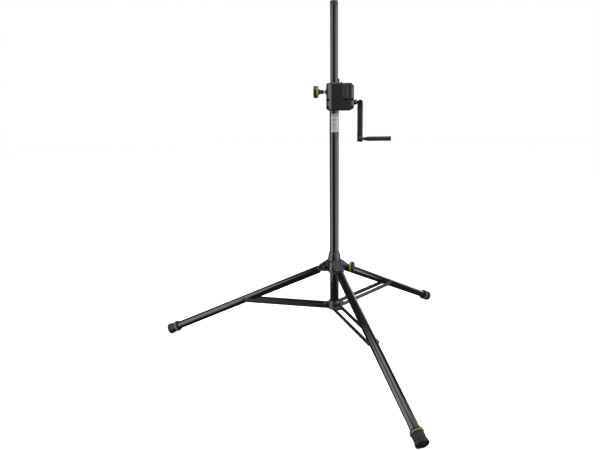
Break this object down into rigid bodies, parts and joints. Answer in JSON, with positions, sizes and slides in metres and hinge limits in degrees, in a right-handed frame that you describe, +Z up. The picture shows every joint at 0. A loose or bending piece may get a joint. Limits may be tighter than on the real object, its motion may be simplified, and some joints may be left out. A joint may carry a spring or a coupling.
{
  "type": "crank lighting stand",
  "caption": "Folding tripod stand with a rack-driven telescopic mast raised by a side crank, brake knob, flat-bar leg braces and rubber feet.",
  "frame": {"origin": "centre of the bounding box's bottom face, on the floor that the three feet stand on; the mast's axis is at X 0.1485, Y 0.0704", "axes": "+Z up along the mast, +X towards the crank, -Y out of the winch housing's cover"},
  "size_m": [1.456, 1.5298, 1.6075],
  "materials": {
    "tube_black": "satin black powder coat on drawn aluminium tube",
    "casting_black": "satin black painted casting",
    "plastic_black": "fine textured black moulding",
    "rubber_black": "matt black moulded rubber",
    "green_plastic": "satin green moulding",
    "steel_black": "black steel",
    "steel_bright": "machined",
    "bronze": "sintered bronze bush",
    "nylon": "natural nylon",
    "tube_label": "satin printed foil"
  },
  "bodies": {
    "mast": {"outer_tube": "tube_black", "mast_end_plug": "plastic_black", "spider": "casting_black", "housing_cover": "plastic_black", "housing_back": "plastic_black", "housing_screw_upper_right": "steel_black", "housing_screw_lower_right": "steel_black", "housing_screw_upper_left": "steel_black", "housing_screw_lower_left": "steel_black", "guide_bush": "nylon", "stop_post": "steel_black", "shaft_bush_back": "bronze", "shaft_bush_front": "bronze", "crank_bush": "plastic_black"},
    "lift": {"inner_tube": "tube_black", "rack": "steel_bright", "top_cap": "plastic_black", "inner_guide": "nylon"},
    "pinion": {"pinion_shaft": "steel_bright", "face_gear": "steel_bright"},
    "crank": {"crank_shaft": "steel_bright", "crank_hub": "casting_black", "grub_screw": "steel_black", "fold_pin": "steel_black"},
    "arm": {"crank_arm": "casting_black", "arm_band": "plastic_black", "handle_elbow": "casting_black", "handle_spindle": "steel_bright"},
    "grip": {"handle_grip": "plastic_black", "grip_end_cap": "plastic_black"},
    "brake_slider": {"brake_pad": "nylon"},
    "brake_dial": {"brake_knob": "plastic_black", "brake_knob_ring": "green_plastic", "brake_screw": "steel_black"},
    "hub": {"tripod_hub": "casting_black", "left_pivot_bolt": "steel_black", "front_pivot_bolt": "steel_black", "right_pivot_bolt": "steel_black"},
    "clamp_slider": {"clamp_pad": "nylon"},
    "clamp_dial": {"clamp_knob": "plastic_black", "clamp_knob_ring": "green_plastic", "clamp_screw": "steel_black"},
    "left_leg": {"left_leg_tube": "tube_black", "left_leg_fitting": "casting_black", "left_foot": "rubber_black", "left_foot_ring": "green_plastic"},
    "left_brace": {"left_brace_bar_a": "steel_black", "left_brace_bar_b": "steel_black"},
    "front_leg": {"front_leg_tube": "tube_black", "front_leg_fitting": "casting_black", "front_foot": "rubber_black", "front_foot_ring": "green_plastic"},
    "front_brace": {"front_brace_bar_a": "steel_black", "front_brace_bar_b": "steel_black"},
    "right_leg": {"right_leg_tube": "tube_black", "right_leg_fitting": "casting_black", "right_foot": "rubber_black", "right_foot_ring": "green_plastic"},
    "right_brace": {"right_brace_bar_a": "steel_black", "right_brace_bar_b": "steel_black"}
  },
  "joints": [
    {"name": "mast_lift", "type": "slide", "parent": "mast", "child": "lift", "axis": [0, 0, 1], "range_m": [0, 0.8]},
    {"name": "pinion_turn", "type": "hinge", "parent": "mast", "child": "pinion", "pos_m": [0.17545, 0.07044, 1.1774], "axis": [0, 1, 0], "range_deg": [0, 3819.9]},
    {"name": "crank_turn", "type": "hinge", "parent": "mast", "child": "crank", "pos_m": [0.24845, 0.07044, 1.1774], "axis": [1, 0, 0], "range_deg": [0, 4340.7]},
    {"name": "crank_fold", "type": "hinge", "parent": "crank", "child": "arm", "pos_m": [0.26445, 0.07044, 1.1774], "axis": [0, -1, 0], "range_deg": [0, 90]},
    {"name": "grip_spin", "type": "hinge", "parent": "arm", "child": "grip", "pos_m": [0.34845, 0.07044, 1.0159], "axis": [1, 0, 0], "continuous": true},
    {"name": "brake_travel", "type": "slide", "parent": "mast", "child": "brake_slider", "axis": [-1, 0, 0], "range_m": [0, 0.0025]},
    {"name": "brake_turn", "type": "hinge", "parent": "brake_slider", "child": "brake_dial", "pos_m": [0.08845, 0.07044, 1.2247], "axis": [-1, 0, 0], "range_deg": [0, 720.2]},
    {"name": "hub_slide", "type": "slide", "parent": "mast", "child": "hub", "axis": [0, 0, 1], "range_m": [0, 0.65]},
    {"name": "clamp_travel", "type": "slide", "parent": "hub", "child": "clamp_slider", "axis": [0.9861, -0.1659, 0], "range_m": [0, 0.0025]},
    {"name": "clamp_turn", "type": "hinge", "parent": "clamp_slider", "child": "clamp_dial", "pos_m": [0.21748, 0.05882, 0.414], "axis": [0.9861, -0.1659, 0], "range_deg": [0, 720.2]},
    {"name": "left_leg_fold", "type": "hinge", "parent": "hub", "child": "left_leg", "pos_m": [0.10901, 0.07707, 0.4114], "axis": [-0.1659, -0.9861, 0], "range_deg": [0, 52.3]},
    {"name": "left_brace_fold", "type": "hinge", "parent": "mast", "child": "left_brace", "pos_m": [0.10408, 0.0779, 0.216], "axis": [0.1659, 0.9861, 0], "range_deg": [0, 76.4]},
    {"name": "front_leg_fold", "type": "hinge", "parent": "hub", "child": "front_leg", "pos_m": [0.16243, 0.03296, 0.4114], "axis": [0.937, 0.3494, 0], "range_deg": [0, 52.3]},
    {"name": "front_brace_fold", "type": "hinge", "parent": "mast", "child": "front_brace", "pos_m": [0.16417, 0.02827, 0.216], "axis": [-0.937, -0.3494, 0], "range_deg": [0, 76.4]},
    {"name": "right_leg_fold", "type": "hinge", "parent": "hub", "child": "right_leg", "pos_m": [0.17392, 0.10128, 0.4114], "axis": [-0.7711, 0.6368, 0], "range_deg": [0, 52.3]},
    {"name": "right_brace_fold", "type": "hinge", "parent": "mast", "child": "right_brace", "pos_m": [0.17711, 0.10513, 0.216], "axis": [0.7711, -0.6368, 0], "range_deg": [0, 76.4]}
  ],
  "couplings": [
    {"joint": "pinion_turn", "follows": "mast_lift", "rad_per_m": 83.333},
    {"joint": "crank_turn", "follows": "mast_lift", "rad_per_m": 94.697},
    {"joint": "brake_turn", "follows": "brake_travel", "rad_per_m": 5026.5},
    {"joint": "clamp_turn", "follows": "clamp_travel", "rad_per_m": 5026.5},
    {"joint": "left_leg_fold", "follows": "hub_slide", "rad_per_m": 1.4013},
    {"joint": "left_brace_fold", "follows": "hub_slide", "rad_per_m": 2.0474},
    {"joint": "front_leg_fold", "follows": "hub_slide", "rad_per_m": 1.4013},
    {"joint": "front_brace_fold", "follows": "hub_slide", "rad_per_m": 2.0474},
    {"joint": "right_leg_fold", "follows": "hub_slide", "rad_per_m": 1.4013},
    {"joint": "right_brace_fold", "follows": "hub_slide", "rad_per_m": 2.0474}
  ]
}
